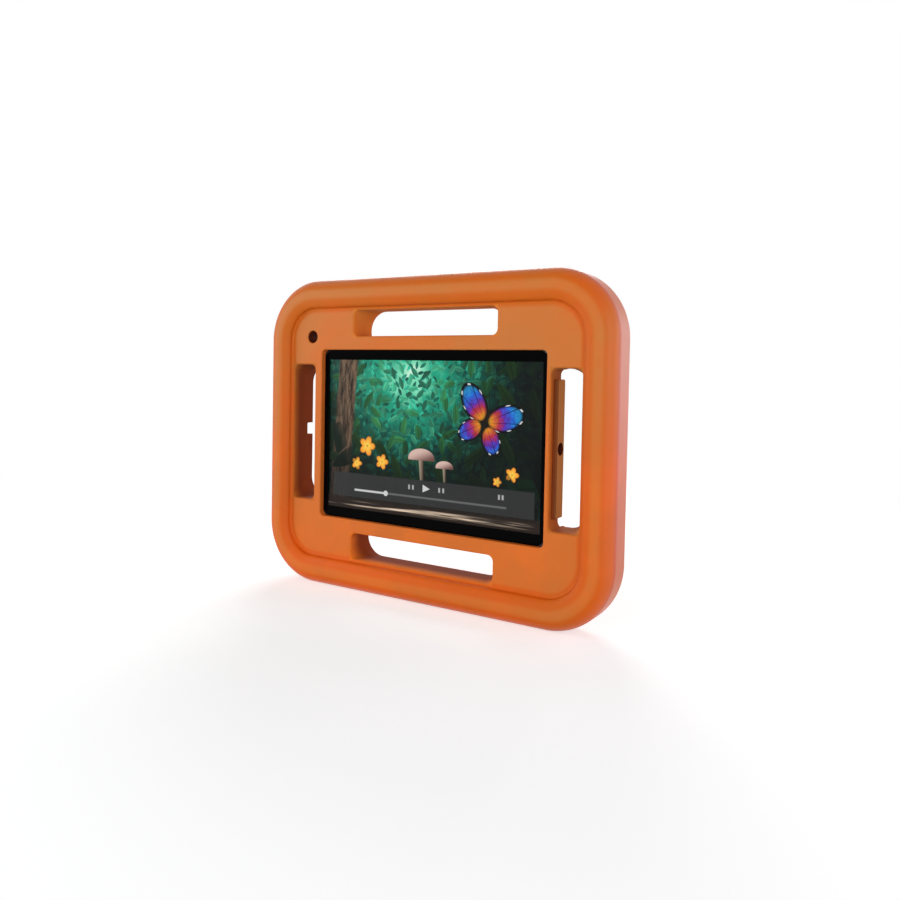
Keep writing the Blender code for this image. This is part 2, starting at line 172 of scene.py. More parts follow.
# One material and the nodes in it
class Finish(Web):
    def __init__(self, name):
        self.material = bpy.data.materials.new(name)
        self.material.use_nodes = True
        super().__init__(self.material.node_tree)
        self.shader = self.tree.nodes["Principled BSDF"]

    def place(self):        # where a point is, in metres, the same in every view
        return self.node("ShaderNodeTexCoord", out="Object")

    def parts(self, vector):        # a vector's x, y and z
        return self.node("ShaderNodeSeparateXYZ", sockets={0: vector}, out=(0, 1, 2))

    def vector(self, x, y, z=0.0):
        return self.node("ShaderNodeCombineXYZ", sockets={"X": x, "Y": y, "Z": z})

    def turned(self, x, y, angle):        # x and y seen from axes turned by an angle
        return x * math.cos(angle) + y * math.sin(angle), y * math.cos(angle) - x * math.sin(angle)

    def blend(self, share, under, over, kind="MIX"):        # 6 and 7 are the Mix node's two colours
        settings = {"data_type": "RGBA", "blend_type": kind}
        return self.node("ShaderNodeMix", settings, {0: share, 6: under, 7: over}, 2)

    def tint(self, share, colour, tint):
        return self.blend(share, colour, tint, "MULTIPLY")

    def step(self, value, low, high):        # 0 below low, 1 above high, smooth between
        settings = {"interpolation_type": "SMOOTHSTEP"}
        return self.node("ShaderNodeMapRange", settings, {"Value": value, "From Min": low, "From Max": high})

    def ramp(self, value, stops):
        return self.node("ShaderNodeValToRGB", {"stops": stops}, {"Fac": value})

    def noise(self, place, scale, detail=2.0, roughness=0.5):
        sockets = {"Vector": place, "Scale": scale, "Detail": detail, "Roughness": roughness}
        return self.node("ShaderNodeTexNoise", sockets=sockets)

    def bump(self, height, distance, strength):
        sockets = {"Height": height, "Distance": distance, "Strength": strength}
        return self.node("ShaderNodeBump", sockets=sockets)

    def set(self, **values):
        for name, value in values.items():
            plug(self.tree, self.shader.inputs[shaderSockets[name]], value)


def newPiece(name, content):
    piece = bpy.data.objects.new(name, content)
    bpy.context.scene.collection.objects.link(piece)
    return piece


def outward(azimuth, elevation):        # away from the case: angles right of its front and upwards
    return Vector((
        math.sin(azimuth) * math.cos(elevation),
        -math.cos(azimuth) * math.cos(elevation),
        math.sin(elevation)))


# Camera: the photo's viewing angle, solved from the case's corners

cameraView = {
    "focalPixels": 780.732,
    "imageSize": 900,
    "centreRow": 396.079,
    "azimuth": math.radians(32.203),
    "elevation": math.radians(1.816),
    "roll": math.radians(1.091),
    "distance": 0.561418,
    "aimRight": -0.023124,        # the case's front middle as the turned camera sees it
    "aimUp": -0.032259,
    "sensor": 36.0,
    "nearClip": 0.01,
}


def makeCamera(values):
    back = outward(values["azimuth"], values["elevation"])
    level = (-back).cross(Vector((0, 0, 1))).normalized()
    upright = level.cross(-back)
    right = level * math.cos(values["roll"]) + upright * math.sin(values["roll"])
    up = upright * math.cos(values["roll"]) - level * math.sin(values["roll"])
    target = Vector((screenMiddle.x, caseLow.y, halfHeight))
    spot = target + back * values["distance"] - right * values["aimRight"] - up * values["aimUp"]
    data = bpy.data.cameras.new("photoCamera")
    data.sensor_width = values["sensor"]
    data.lens = values["focalPixels"] / values["imageSize"] * values["sensor"]
    data.shift_y = (values["centreRow"] - values["imageSize"] / 2) / values["imageSize"]
    data.clip_start = values["nearClip"]
    camera = newPiece("photoCamera", data)
    camera.matrix_world = Matrix((
        (right.x, up.x, back.x, spot.x),
        (right.y, up.y, back.y, spot.y),
        (right.z, up.z, back.z, spot.z),
        (0, 0, 0, 1)))
    bpy.context.scene.camera = camera


# Floor, backdrop and lamps

studio = {
    "floorSize": 12.0,
    "floorColour": (0.77, 0.8, 0.8),
    "floorGlow": (0.52, 0.52, 0.52),
    "floorRoughness": 0.9,
    "fadeStart": 0.25,             # from here outwards the floor turns into the white background
    "fadeEnd": 0.9,
    "skyStrength": 0.15,
    "lampDistance": 1.6,
    "lampSize": 1.0,
}
lamps = {        # degrees right of the front and above the case's middle, watts and colour
    "leftLamp": (-62, 8, 11.5, white),
    "frontLamp": (5, 6, 8.0, white),
    "rightLamp": (39, 6, 11.0, white),
    "sideLamp": (98, 8, 6.0, (1.0, 0.85, 1.0)),
    "rimLamp": (142, 8, 6.0, (1.0, 0.85, 1.0)),
    "backLamp": (-150, 30, 14.0, white),
}


def makeFloor(values):
    half = values["floorSize"] / 2
    corners = [(-half, -half, 0), (half, -half, 0), (half, half, 0), (-half, half, 0)]
    mesh = bpy.data.meshes.new("studioFloor")
    mesh.from_pydata(corners, [], [(0, 1, 2, 3)])
    finish = Finish("palePaperFloor")
    x, y, _ = finish.parts(finish.place())
    away = finish.step(x.span(y), values["fadeStart"], values["fadeEnd"])
    seen = finish.seen()
    glow = finish.blend(away, values["floorGlow"], white)
    finish.set(colour=finish.blend(seen * away, values["floorColour"], black))
    finish.set(glow=finish.blend(seen, black, glow), glowStrength=1.0)
    finish.set(roughness=values["floorRoughness"], specular=0.0)
    mesh.materials.append(finish.material)
    floor = newPiece("studioFloor", mesh)


def makeSky(values):        # the background is white, and lights the case only faintly
    world = bpy.data.worlds.new("paleRoom")
    world.use_nodes = True
    web = Web(world.node_tree)
    background = world.node_tree.nodes["Background"]
    seen = web.seen()
    plug(web.tree, background.inputs["Color"], white)
    plug(web.tree, background.inputs["Strength"], seen + (1.0 - seen) * values["skyStrength"])
    bpy.context.scene.world = world


def makeLamp(name, azimuth, elevation, watts, colour):
    away = outward(math.radians(azimuth), math.radians(elevation))
    data = bpy.data.lights.new(name, "AREA")
    data.shape = "DISK"
    data.size = studio["lampSize"]
    data.energy = watts
    data.color = colour
    lamp = newPiece(name, data)
    lamp.location = Vector((0, 0, halfHeight)) + away * studio["lampDistance"]
    lamp.rotation_euler = (-away).to_track_quat("-Z", "Y").to_euler()


def makeStudio():
    makeCamera(cameraView)
    makeFloor(studio)
    makeSky(studio)
    for name, values in lamps.items():
        makeLamp(name, *values)
    bpy.context.scene.view_settings.view_transform = "Standard"
    print("studio ready")


# Foam case. It is drawn lying on its back, x right, y up the screen and z out of the screen,
# with the depths taken from the frame, and is then stood upright.

caseShape = {
    "rimWidth": 0.0238,
    "rimRise": 0.006,               # above the flat face
    "crestInset": 0.0115,           # from the case's outline
    "frontRound": 0.010,
    "backRound": 0.0047,
    "footFillet": 0.002,
    "cornerRadius": 0.047,
    "slotRimGap": 0.0005,
    "sideSlotWidth": 0.0217,
    "sideSlotLength": 0.1075,
    "longSlotWidth": 0.0199,
    "longSlotLength": 0.125,
    "longSlotOffset": -0.0012,      # the upper and lower slots lie this far right of the middle
    "slotCorner": 0.0045,
    "slotBackCorner": 0.015,
    "slotFrontRound": 0.0015,
    "slotBackRound": 0.0012,
    "lipCover": 0.0016,
    "lipRound": 0.001,
    "windowCorner": 0.0035,
    "fitGap": 0.0003,
    "tabletCorner": 0.010,
    "backPanel": 0.0045,
    "backRecess": 0.0062,
    "recessMargin": 0.001,
    "recessCorner": 0.020,
    "recessRound": 0.0025,
    "bolsterLength": 0.093,
    "bolsterRise": 0.003,
    "bolsterRoot": 0.001,           # how far the pad is sunk into its wall
    "bolsterSetback": 0.0052,
    "bolsterRound": 0.0012,
    "strapHole": 0.0095,
    "strapHoleFromSide": 0.043,
    "strapHoleFromTop": 0.0444,
    "strapHoleRound": 0.0012,
    "portHole": 0.0084,
    "portHoleBackset": 0.0013,      # behind the port's middle
    "channelHeight": 0.0095,
    "channelDepth": 0.007,
    "channelRound": 0.0012,
    "channelLift": 0.001,           # above the case's middle
}
caseFineness = {"outline": 36, "roll": 18, "slot": 14, "edge": 7, "hole": 64}
cutReach = 0.004                # how far a cutter runs past the surface it cuts
flareEnd = math.radians(78)     # a rounded edge stops just short of the surface it meets
smoothAngle = math.radians(40)  # edges that turn more than this stay sharp

frontZ = -caseLow.y
backZ = -caseHigh.y
faceZ = frontZ - caseShape["rimRise"]
blockBackZ = backZ + caseShape["backRecess"]
pocketFloorZ = blockBackZ + caseShape["backPanel"]
tabletFrontZ = -tabletLow.y
slotOuterX = halfWidth - caseShape["rimWidth"] - caseShape["slotRimGap"]
slotInnerX = slotOuterX - caseShape["sideSlotWidth"]
slotOuterY = halfHeight - caseShape["rimWidth"] - caseShape["slotRimGap"]
slotInnerY = slotOuterY - caseShape["longSlotWidth"]
tabletHalfX = (tabletHigh.x - tabletLow.x) / 2
tabletHalfY = (tabletHigh.z - tabletLow.z) / 2
tabletX = (tabletHigh.x + tabletLow.x) / 2
portHoleZ = -(portLow.y + portHigh.y) / 2 - caseShape["portHoleBackset"]


# The rim's section from the back, over the crest, to the flat face: inset and height pairs
def rimSection(shape, steps):
    quarter = [0.5 * math.pi * step / steps for step in range(steps + 1)]
    innerRun = shape["rimWidth"] - shape["footFillet"] - shape["crestInset"]
    innerDrop = shape["rimRise"] - shape["footFillet"]
    section = []
    for turn in quarter:
        inset = shape["backRound"] * (1 - math.sin(turn))
        section.append((inset, backZ + shape["backRound"] * (1 - math.cos(turn))))
    for turn in quarter:
        inset = shape["crestInset"] * (1 - math.cos(turn))
        section.append((inset, frontZ - shape["frontRound"] * (1 - math.sin(turn))))
    for turn in quarter[1:]:
        inset = shape["crestInset"] + innerRun * math.sin(turn)
        section.append((inset, frontZ - innerDrop * (1 - math.cos(turn))))
    for turn in quarter[1:]:
        inset = shape["rimWidth"] - shape["footFillet"] * math.cos(turn)
        section.append((inset, faceZ + shape["footFillet"] * (1 - math.sin(turn))))
    return section


# Geometry nodes that sweep a section along a rectangle with round corners
def rimSweepTree(material):
    tree = bpy.data.node_groups.new("rimSweep", "GeometryNodeTree")
    names = ("Geometry", "Width", "Height", "Corner Radius", "Corner Steps")
    kinds = ("Geometry", "Float", "Float", "Float", "Int")
    for name, kind in zip(names, kinds):
        tree.interface.new_socket(name, in_out="INPUT", socket_type="NodeSocket" + kind)
    tree.interface.new_socket("Geometry", in_out="OUTPUT", socket_type="NodeSocketGeometry")
    web = Web(tree)
    section, width, height, radius, steps = web.node("NodeGroupInput", out=names)
    path = web.node("GeometryNodeCurvePrimitiveQuadrilateral", sockets={"Width": width, "Height": height})
    corners = {"Curve": path, "Radius": radius, "Count": steps}
    path = web.node("GeometryNodeFilletCurve", {"mode": "POLY"}, corners)
    path = web.node("GeometryNodeSetCurveNormal", {"mode": "Z_UP"}, {"Curve": path})
    section = web.node("GeometryNodeMeshToCurve", sockets={"Mesh": section})
    rim = web.node("GeometryNodeCurveToMesh", sockets={"Curve": path, "Profile Curve": section})
    rim = web.node("GeometryNodeRealizeInstances", sockets={"Geometry": rim})
    rim = web.node("GeometryNodeSetMaterial", sockets={"Geometry": rim, "Material": material})
    web.node("NodeGroupOutput", sockets={"Geometry": rim})
    return tree


def setInputs(modifier, values):        # a modifier's inputs, by the names in its tree
    for item in modifier.node_group.interface.items_tree:
        if item.item_type == "SOCKET" and item.in_out == "INPUT" and item.name in values:
            modifier[item.identifier] = values[item.name]


def evaluatedMesh(piece):
    bpy.context.view_layer.update()
    return bpy.data.meshes.new_from_object(piece.evaluated_get(bpy.context.evaluated_depsgraph_get()))


def roundedOutline(left, right, low, high, radii, steps, z):
    corners = (
        (left, low, 1, 1, math.pi),
        (right, low, -1, 1, 1.5 * math.pi),
        (right, high, -1, -1, 0.0),
        (left, high, 1, -1, 0.5 * math.pi),
    )
    points = []
    for (x, y, inwardX, inwardY, start), radius in zip(corners, radii):
        for step in range(steps + 1):
            angle = start + 0.5 * math.pi * step / steps
            points.append(Vector((
                x + inwardX * radius + radius * math.cos(angle),
                y + inwardY * radius + radius * math.sin(angle), z)))
    return points


def grownOutline(halfX, halfY, radius, growth, steps, z, middleX=0.0):
    return roundedOutline(
        middleX - halfX - growth, middleX + halfX + growth, -halfY - growth, halfY + growth,
        [radius + growth] * 4, steps, z)


def loft(name, rings):
    mesh = bpy.data.meshes.new(name)
    work = bmesh.new()
    loops = [[work.verts.new(point) for point in ring] for ring in rings]
    for lower, upper in zip(loops, loops[1:]):
        for i in range(len(lower)):
            j = (i + 1) % len(lower)
            work.faces.new((lower[i], lower[j], upper[j], upper[i]))
    work.faces.new(list(reversed(loops[0])))
    work.faces.new(loops[-1])
    bmesh.ops.remove_doubles(work, verts=work.verts, dist=weldGap)
    bmesh.ops.recalc_face_normals(work, faces=work.faces)
    work.to_mesh(mesh)
    work.free()
    return newPiece(name, mesh)


def turnedForm(name, profile, steps):        # radius and height pairs, spun about z
    angles = [2 * math.pi * step / steps for step in range(steps)]
    return loft(name, [
        [Vector((radius * math.cos(angle), radius * math.sin(angle), height)) for angle in angles]
        for radius, height in profile
    ])


def roundedBlock(name, low, high, rounding):
    mesh = bpy.data.meshes.new(name)
    work = bmesh.new()
    bmesh.ops.create_cube(work, size=1.0)
    bmesh.ops.scale(work, vec=Vector(high) - Vector(low), verts=work.verts)
    bmesh.ops.translate(work, vec=(Vector(high) + Vector(low)) / 2, verts=work.verts)
    bmesh.ops.bevel(
        work, geom=work.edges[:], offset=rounding, segments=caseFineness["edge"], profile=0.5, affect="EDGES")
    work.to_mesh(mesh)
    work.free()
    return newPiece(name, mesh)


def flare(radius):        # growth and depth pairs of a rounded edge, from the wall to the surface
    turns = [flareEnd * step / caseFineness["edge"] for step in range(caseFineness["edge"] + 1)]
    return [(radius * (1 - math.cos(turn)), radius * (1 - math.sin(turn))) for turn in turns]


def caseBlank(shape, material):
    profile = bpy.data.meshes.new("rimSection")
    points = [(-inset, -z, 0.0) for inset, z in rimSection(shape, caseFineness["roll"])]
    profile.from_pydata(points, [(i, i + 1) for i in range(len(points) - 1)], [])
    blank = newPiece("caseBlank", profile)
    modifier = blank.modifiers.new("rimSweep", "NODES")
    modifier.node_group = rimSweepTree(material)
    setInputs(modifier, {
        "Width": 2 * halfWidth, "Height": 2 * halfHeight,
        "Corner Radius": shape["cornerRadius"], "Corner Steps": caseFineness["outline"]})
    mesh = evaluatedMesh(blank)
    bpy.data.objects.remove(blank)
    work = bmesh.new()
    work.from_mesh(mesh)
    bmesh.ops.remove_doubles(work, verts=work.verts, dist=weldGap)
    bmesh.ops.holes_fill(work, edges=[edge for edge in work.edges if edge.is_boundary], sides=0)
    bmesh.ops.recalc_face_normals(work, faces=work.faces)
    work.to_mesh(mesh)
    work.free()
    return newPiece("foamCase", mesh)


# A hand slot's cutter, drawn as the upper slot and then turned to its side
def slotCutter(name, shape, length, inner, outer):
    half = length / 2
    corner = shape["slotCorner"]
    backCorner = min(shape["slotBackCorner"], outer - inner - corner - weldGap)

    def ring(z, allRound, innerGrowth, outerCorner):
        radii = (corner + allRound, corner + allRound, outerCorner + allRound, outerCorner + allRound)
        return roundedOutline(
            -half - allRound, half + allRound, inner - max(allRound, innerGrowth), outer + allRound,
            radii, caseFineness["slot"], z)

    backEdge = flare(shape["slotBackRound"])
    frontEdge = flare(shape["slotFrontRound"])
    widest = frontEdge[-1][0]
    rings = [ring(backZ - cutReach, backEdge[-1][0], widest, backCorner)]
    rings += [ring(backZ + depth, growth, widest, backCorner) for growth, depth in reversed(backEdge)]
    rings += [ring(blockBackZ + depth, 0.0, growth, backCorner) for growth, depth in reversed(frontEdge)]
    rings += [ring(faceZ - depth, growth, growth, corner) for growth, depth in frontEdge]
    rings.append(ring(frontZ + cutReach, widest, 0.0, corner))
    return loft(name, rings)


def handSlotCutters(shape):
    longSlot = (shape["longSlotLength"], slotInnerY, slotOuterY)
    sideSlot = (shape["sideSlotLength"], slotInnerX, slotOuterX)
    places = (
        ("topSlot", longSlot, shape["longSlotOffset"], 0.0),
        ("leftSlot", sideSlot, 0.0, 0.5 * math.pi),
        ("bottomSlot", longSlot, shape["longSlotOffset"], math.pi),
        ("rightSlot", sideSlot, 0.0, -0.5 * math.pi),
    )
    cutters = []
    for name, size, offset, turn in places:
        cutter = slotCutter(name, shape, *size)
        cutter.data.transform(Matrix.Translation((offset, 0, 0)) @ Matrix.Rotation(turn, 4, "Z"))
        cutters.append(cutter)
    return cutters


def recessCutter(shape):        # the shallow recess behind the tablet
    mouth = flare(shape["recessRound"])
    steps = [(mouth[-1][0], backZ - cutReach)]
    steps += [(growth, backZ + depth) for growth, depth in reversed(mouth)]
    steps.append((0.0, blockBackZ))
    return loft("backRecess", [
        grownOutline(
            slotInnerX + shape["recessMargin"], slotInnerY + shape["recessMargin"], shape["recessCorner"],
            growth, caseFineness["slot"], z)
        for growth, z in steps
    ])


def pocketCutters(shape):        # the tablet's pocket, and the window in front of it
    pocket = loft("pocket", [
        grownOutline(
            tabletHalfX, tabletHalfY, shape["tabletCorner"],
            shape["fitGap"], caseFineness["slot"], z, tabletX)
        for z in (pocketFloorZ, tabletFrontZ + shape["fitGap"])
    ])
    edge = flare(shape["lipRound"])
    steps = [(0.0, tabletFrontZ - cutReach / 2)]
    steps += [(growth, faceZ - depth) for growth, depth in edge]
    steps.append((edge[-1][0], frontZ + cutReach))
    window = loft("window", [
        grownOutline(
            tabletHalfX - shape["lipCover"], tabletHalfY - shape["lipCover"], shape["windowCorner"],
            growth, caseFineness["slot"], z, tabletX)
        for growth, z in steps
    ])
    return [pocket, window]


def strapHoleCutter(shape):
    radius = shape["strapHole"] / 2
    edge = flare(shape["strapHoleRound"])
    wide = radius + edge[-1][0]
    profile = [(wide, backZ - cutReach)]
    profile += [(radius + growth, backZ + depth) for growth, depth in reversed(edge)]
    profile += [(radius + growth, faceZ - depth) for growth, depth in edge]
    profile.append((wide, frontZ + cutReach))
    cutter = turnedForm("strapHole", profile, caseFineness["hole"])
    place = (shape["strapHoleFromSide"] - halfWidth, halfHeight - shape["strapHoleFromTop"], 0)
    cutter.data.transform(Matrix.Translation(place))
    return cutter


def portHoleCutters(shape):        # one hole through each end wall of the pocket
    cutters = []
    ends = (("leftPortHole", -1, tabletLow.x), ("rightPortHole", 1, tabletHigh.x))
    for name, side, end in ends:
        reach = abs(side * (slotInnerX + shape["bolsterRise"] + cutReach) - end)
        profile = [(shape["portHole"] / 2, 0.0), (shape["portHole"] / 2, reach)]
        cutter = turnedForm(name, profile, caseFineness["hole"])
        turn = Matrix.Rotation(side * 0.5 * math.pi, 4, "Y")
        cutter.data.transform(Matrix.Translation((end, 0, portHoleZ)) @ turn)
        cutters.append(cutter)
    return cutters


def channelCutter(shape):        # lets a cable cross the back of the left bar
    low = shape["channelLift"] - shape["channelHeight"] / 2
    return roundedBlock(
        "cableChannel",
        (-halfWidth - cutReach, low, backZ - cutReach),
        (-slotOuterX + cutReach, low + shape["channelHeight"], backZ + shape["channelDepth"]),
        shape["channelRound"])


def bolsterForm(shape):        # pad on the right wall of the tablet block
    return roundedBlock(
        "bolster",
        (slotInnerX - shape["bolsterRoot"], -shape["bolsterLength"] / 2, blockBackZ),
        (slotInnerX + shape["bolsterRise"], shape["bolsterLength"] / 2, faceZ - shape["bolsterSetback"]),
        shape["bolsterRound"])


def makeFoamCase(shape, material):
    case = caseBlank(shape, material)
    pad = bolsterForm(shape)
    forms = [
        *handSlotCutters(shape), recessCutter(shape), pad, *pocketCutters(shape),
        strapHoleCutter(shape), *portHoleCutters(shape), channelCutter(shape)]
    for form in forms:        # the pad is added, and the others are cut away
        modifier = case.modifiers.new(form.name, "BOOLEAN")
        modifier.operation = "UNION" if form == pad else "DIFFERENCE"
        modifier.object = form
    mesh = evaluatedMesh(case)
    for form in (case, *forms):
        bpy.data.objects.remove(form)
    work = bmesh.new()
    work.from_mesh(mesh)
    bmesh.ops.remove_doubles(work, verts=work.verts, dist=weldGap)
    bmesh.ops.dissolve_degenerate(work, edges=work.edges, dist=weldGap)
    stand = Matrix.Translation((0, 0, halfHeight)) @ Matrix.Rotation(0.5 * math.pi, 4, "X")
    bmesh.ops.transform(work, matrix=stand, verts=work.verts)
    work.to_mesh(mesh)
    work.free()
    mesh.shade_smooth()
    mesh.set_sharp_from_angle(angle=smoothAngle)
    mesh.materials.clear()
    mesh.materials.append(material)
    case = newPiece("foamCase", mesh)
    weigh = case.modifiers.new("flatFacesStayFlat", "WEIGHTED_NORMAL")
    weigh.keep_sharp = True
    case.data = evaluatedMesh(case)
    case.modifiers.clear()
    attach(case, "root")
    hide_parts("foam_case")
    print("foam case:", len(case.data.polygons), "faces")
    return case


foamLook = {
    "stops": [(0.3, (0.72, 0.158, 0.018)), (0.5, (0.61, 0.150, 0.021)), (0.7, (0.55, 0.170, 0.033))],
    "drift": 1.1,                          # upwards the skin is paler and more golden
    "mottle": {"scale": 14.0, "detail": 4.0, "roughness": 0.6},
    "grain": {"scale": 1500.0, "detail": 3.0, "roughness": 0.6},
    "poreScale": 620.0,
    "grainHeight": 0.7,
    "poreHeight": 0.5,
    "bumpDepth": 0.00012,
    "bumpStrength": 0.5,
    "roughness": 0.45,
    "grainRoughness": 0.12,
    "mottleRoughness": 0.06,
    "slotRoughness": 0.35,
    "specular": 0.2,
    "crestHighlightSlopeTint": (1.0, 0.70, 0.15),        # the rim's slopes are a purer orange, so the crest stays paler: a painted highlight
    "crestBand": (0.0015, 0.0055),
    "slopeFade": 0.002856,                 # past the rim's foot
    "slotMouthLightTint": (1.12, 1.16, 0.90),        # painted light on the cut walls, near the front
    "rightSlotTint": (0.82, 0.95, 0.95),   # the right slot lies in the tablet block's shade
    "deepShadeTint": (0.29, 0.195, 0.15),       # and painted shade deep inside, which turns the walls brown
    "deepBand": (-0.001, 0.012),
    "leftSlot": (-0.09, -0.10),            # the painted shade in the left slot starts nearer to the front
    "leftDeeper": 0.004,
    "topSlot": (0.055, 0.085),             # the upper and the right slot get less of the painted shade
    "topPaler": 0.8,
    "rightSlot": (0.06, 0.1),
    "rightPaler": 0.6,
    "holeShadeTint": (0.16, 0.07, 0.06),        # painted shade inside the strap hole and the port holes
    # the pad's face is a golden tone, painted light that it catches, in place of the slot walls' painted
    # shade
    "bolsterLitColour": (0.46, 0.185, 0.042),
    "bolsterSkin": 0.001,                  # how deep the pad's painted light goes
    "bolsterEndShadeTint": (0.40, 0.32, 0.40),  # painted shade on the pad's front end, where it lies in a fold
    "maskEdge": 0.0003,                    # how softly one of these areas meets the next
    "flankShadeTint": (0.88, 0.66, 0.60),       # painted shade makes the outer sides darker and redder; they are also rubbed smooth by hands
    "flankReach": 0.0012,
    "flankCoat": 0.65,
    "flankCoatBand": (0.0075, 0.00125),
    "flankCoatRoughness": 0.4,
}


def slotWalls(finish, x, height, shape):        # 1 on the walls of the four hand slots
    side = abs(abs(x) - (slotInnerX + slotOuterX) / 2) - shape["sideSlotWidth"] / 2
    side = side.most(abs(height) - shape["sideSlotLength"] / 2)
    long = abs(abs(height) - (slotInnerY + slotOuterY) / 2) - shape["longSlotWidth"] / 2
    long = long.most(abs(x - shape["longSlotOffset"]) - shape["longSlotLength"] / 2)
    return finish.step(side.least(long), shape["slotFrontRound"], 0.0)


def holeWalls(finish, x, depth, height, shape):        # 1 inside the strap hole and the port holes
    across = x - (shape["strapHoleFromSide"] - halfWidth)
    upward = height - (halfHeight - shape["strapHoleFromTop"])
    strap = across.span(upward) - shape["strapHole"] / 2
    port = height.span(depth + portHoleZ) - shape["portHole"] / 2
    port = port.most(abs(x) - slotInnerX - shape["bolsterRise"] - foamLook["maskEdge"])
    return finish.step(strap.least(port), foamLook["maskEdge"], 0.0)


def bolsterPad(finish, x, depth, height, shape):        # the right wall's pad, which gets painted light, and its front end, which gets painted shade
    across = abs(x - slotInnerX - shape["bolsterRise"])
    beyond = abs(height) - shape["bolsterLength"] / 2
    end = abs(depth + faceZ - shape["bolsterSetback"]) - shape["bolsterRound"] / 2
    edge = foamLook["maskEdge"]
    face = finish.step((across - foamLook["bolsterSkin"]).most(beyond), edge, -edge)
    return face, finish.step((across - shape["bolsterRise"]).most(beyond).most(end), edge, 0.0)


def fromEdge(x, height, shape):        # how far in from the case's outline a point is
    across = (abs(x) - (halfWidth - shape["cornerRadius"])).most(0.0)
    upward = (abs(height) - (halfHeight - shape["cornerRadius"])).most(0.0)
    return shape["cornerRadius"] - across.span(upward)


def rimSlopes(finish, inset, depth, shape):        # 1 on the rim's slopes, on the front half of the case; their tint leaves a painted highlight on the crest
    slope = finish.step(abs(inset - shape["crestInset"]), *foamLook["crestBand"])
    slope = slope * finish.step(inset, shape["rimWidth"] + foamLook["slopeFade"], shape["rimWidth"])
    return slope * finish.step(depth, 0.0, caseLow.y / 2)


def slotPaintedShade(finish, x, depth, height, look):        # painted light and shade on the cut walls, lit near the front and shaded deep inside
    top = finish.step(height, *look["topSlot"])
    right = finish.step(x, *look["rightSlot"])
    sunk = depth - caseLow.y - caseShape["rimRise"] + finish.step(x, *look["leftSlot"]) * look["leftDeeper"]
    deep = finish.step(sunk, *look["deepBand"])
    deep = deep * (1.0 - top * look["topPaler"]) * (1.0 - right * look["rightPaler"])
    outer = finish.blend(right, look["slotMouthLightTint"], look["rightSlotTint"])
    return finish.blend(deep, outer, look["deepShadeTint"])


def foamFinish(look):
    finish = Finish("orangeFoamSkin")
    place = finish.place()
    x, depth, z = finish.parts(place)
    height = z - halfHeight
    inset = fromEdge(x, height, caseShape)
    walls = slotWalls(finish, x, height, caseShape)
    slopes = rimSlopes(finish, inset, depth, caseShape) * (1.0 - walls)
    pad, padEndShade = bolsterPad(finish, x, depth, height, caseShape)
    mottle = finish.noise(place, **look["mottle"])
    grain = finish.noise(place, **look["grain"])
    pores = finish.node(
        "ShaderNodeTexVoronoi", sockets={"Vector": place, "Scale": look["poreScale"]}, out="Distance")
    tone = finish.ramp(mottle + height * look["drift"], look["stops"])
    # painted highlight: the slopes are tinted so that the crest stays paler
    tone = finish.tint(slopes, tone, look["crestHighlightSlopeTint"])
    # painted shade on the outer sides
    tone = finish.tint(finish.step(inset, look["flankReach"], 0.0), tone, look["flankShadeTint"])
    # painted light and shade on the walls of the hand slots
    tone = finish.tint(walls, tone, slotPaintedShade(finish, x, depth, height, look))
    # painted light on the pad's face
    tone = finish.blend(pad, tone, look["bolsterLitColour"])
    # painted shade on the pad's front end
    tone = finish.tint(padEndShade, tone, look["bolsterEndShadeTint"])
    # painted shade inside the strap hole and the port holes
    tone = finish.tint(holeWalls(finish, x, depth, height, caseShape), tone, look["holeShadeTint"])
    rough = look["roughness"] + grain * look["grainRoughness"] + mottle * look["mottleRoughness"]
    skin = grain * look["grainHeight"] + pores * look["poreHeight"]
    finish.set(colour=tone, roughness=rough + walls * look["slotRoughness"], specular=look["specular"])
    finish.set(normal=finish.bump(skin, look["bumpDepth"], look["bumpStrength"]))
    coat = finish.step(inset, *look["flankCoatBand"]) * look["flankCoat"]
    finish.set(coat=coat, coatRoughness=look["flankCoatRoughness"])
    return finish.material


# Tablet: the frame's own nodes keep their shape and take finer materials

screenLook = {
    "pictureHalfWidth": 0.093,
    "pictureHalfHeight": 0.058,
    "borderColour": (0.0012, 0.0012, 0.0015),
    "borderEdge": 0.0001,
    "clearAlpha": 0.01,
    "glassRoughness": 0.06,
    "glassSpecular": 0.02,
    "panelRoughness": 0.3,
    "panelSpecular": 0.1,
}


def glassFinish(look):        # clear over the picture, printed black round it
    finish = Finish("coverGlassBlackBorder")
    x, _, z = finish.parts(finish.place())
    across = abs(x - screenMiddle.x) - look["pictureHalfWidth"]
    upward = abs(z - screenMiddle.z) - look["pictureHalfHeight"]
    border = finish.step(across.most(upward), -look["borderEdge"], look["borderEdge"])
    finish.set(colour=look["borderColour"], roughness=look["glassRoughness"], specular=look["glassSpecular"])
    finish.set(alpha=look["clearAlpha"] + border * (1.0 - look["clearAlpha"]))
    return finish.material


# The picture: a butterfly over a forest floor. Its height is 2, from -1 to 1, and x is 0 in the middle.

